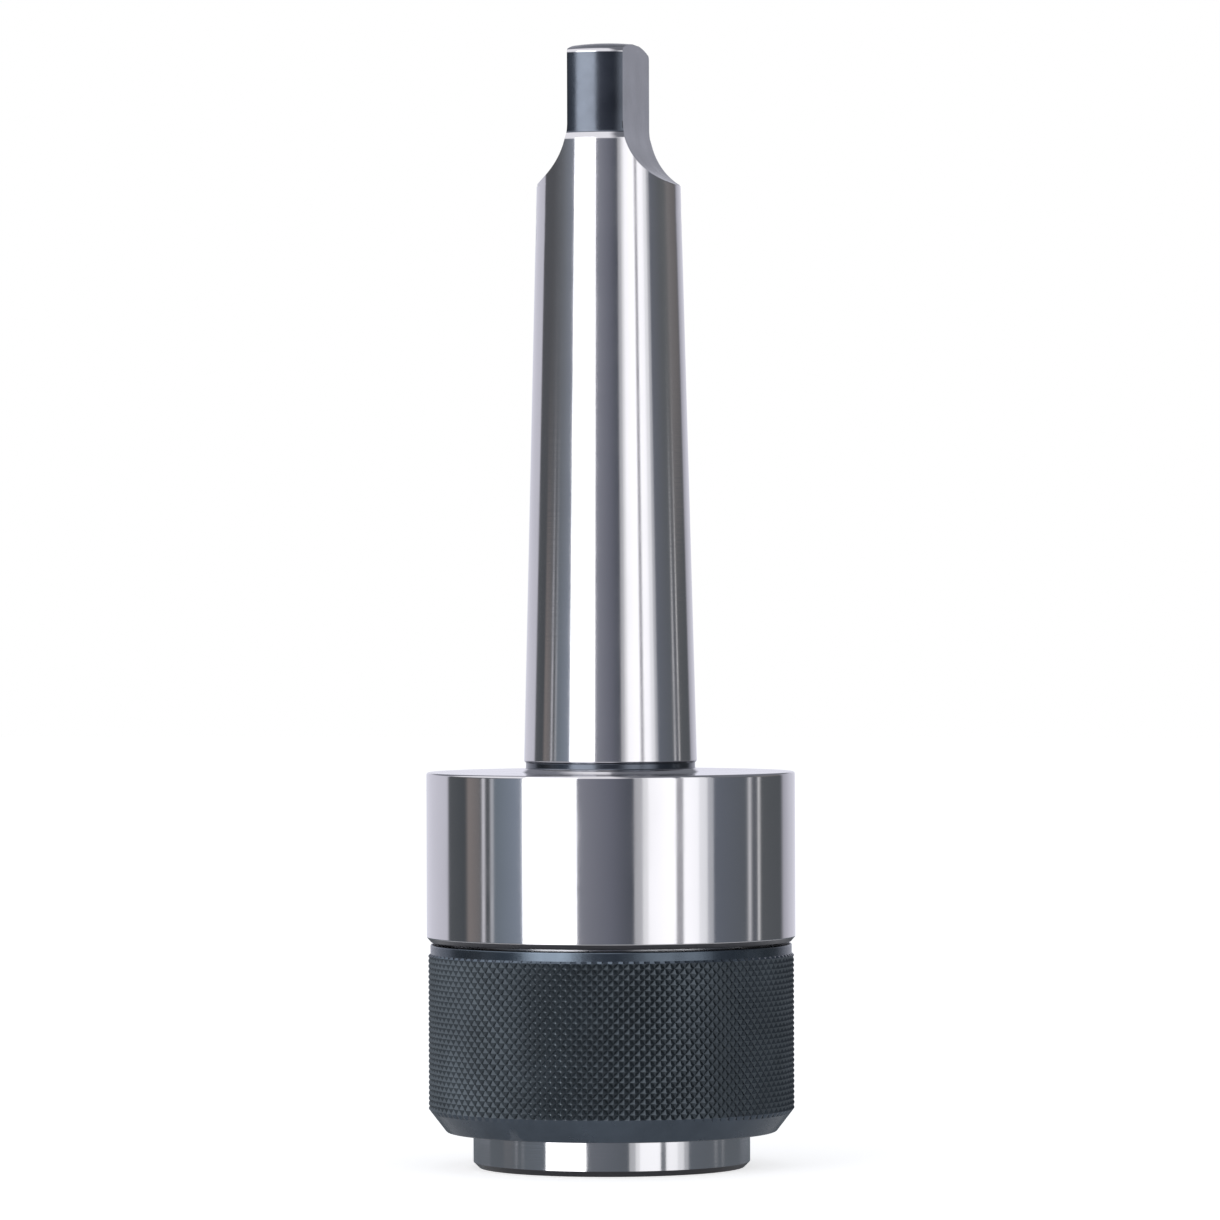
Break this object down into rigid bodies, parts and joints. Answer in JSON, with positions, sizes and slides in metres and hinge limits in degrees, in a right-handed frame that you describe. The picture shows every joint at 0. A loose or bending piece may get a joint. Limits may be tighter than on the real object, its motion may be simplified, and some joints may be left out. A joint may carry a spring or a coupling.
{
  "type": "tapping chuck",
  "caption": "Quick-change tapping chuck with a Morse taper shank, polished housing, knurled release sleeve and a spring-loaded spindle that floats along the axis.",
  "frame": {"origin": "centre of the nose face, where the chuck stands as in the picture", "axes": "+Z along the axis from the nose to the tang, +X square to the tang's flats"},
  "size_m": [0.0514, 0.0514, 0.1566],
  "materials": {
    "polished_steel": "ground and polished",
    "machined_steel": "turned",
    "spring_steel": "oiled spring wire",
    "bearing_steel": "polished balls",
    "black_steel": "black oxide on steel"
  },
  "bodies": {
    "shank": {"taper_shank": "polished_steel", "housing": "polished_steel", "guide_bush": "machined_steel", "float_spring": "spring_steel"},
    "spindle": {"spindle": "polished_steel", "float_bolt": "black_steel", "bolt_washer": "machined_steel", "float_nut": "black_steel", "lock_washer": "machined_steel", "drive_ball_1": "bearing_steel", "drive_ball_2": "bearing_steel", "drive_ball_3": "bearing_steel", "drive_ball_4": "bearing_steel", "sleeve_spring": "spring_steel", "spring_seat_ring": "machined_steel", "nose_snap_ring": "spring_steel"},
    "sleeve": {"locking_sleeve": "black_steel"},
    "lock_ball_1": {"lock_ball_1": "bearing_steel"},
    "lock_ball_2": {"lock_ball_2": "bearing_steel"},
    "lock_ball_3": {"lock_ball_3": "bearing_steel"},
    "lock_ball_4": {"lock_ball_4": "bearing_steel"}
  },
  "joints": [
    {"name": "float_slide", "type": "slide", "parent": "shank", "child": "spindle", "axis": [0, 0, -1], "range_m": [0, 0.01], "stiffness_N_per_m": 9000, "springref_m": -0.0055, "deforming": ["float_spring"]},
    {"name": "sleeve_slide", "type": "slide", "parent": "spindle", "child": "sleeve", "axis": [0, 0, -1], "range_m": [0, 0.0036], "stiffness_N_per_m": 1500, "springref_m": -0.006, "deforming": ["sleeve_spring"]},
    {"name": "lock_ball_1_slide", "type": "slide", "parent": "spindle", "child": "lock_ball_1", "axis": [0.7071, 0.7071, 0], "range_m": [0, 0.00118]},
    {"name": "lock_ball_2_slide", "type": "slide", "parent": "spindle", "child": "lock_ball_2", "axis": [-0.7071, 0.7071, 0], "range_m": [0, 0.00118]},
    {"name": "lock_ball_3_slide", "type": "slide", "parent": "spindle", "child": "lock_ball_3", "axis": [-0.7071, -0.7071, 0], "range_m": [0, 0.00118]},
    {"name": "lock_ball_4_slide", "type": "slide", "parent": "spindle", "child": "lock_ball_4", "axis": [0.7071, -0.7071, 0], "range_m": [0, 0.00118]}
  ],
  "couplings": [
    {"joint": "lock_ball_1_slide", "follows": "sleeve_slide", "ratio": 0.325},
    {"joint": "lock_ball_2_slide", "follows": "sleeve_slide", "ratio": 0.325},
    {"joint": "lock_ball_3_slide", "follows": "sleeve_slide", "ratio": 0.325},
    {"joint": "lock_ball_4_slide", "follows": "sleeve_slide", "ratio": 0.325}
  ]
}
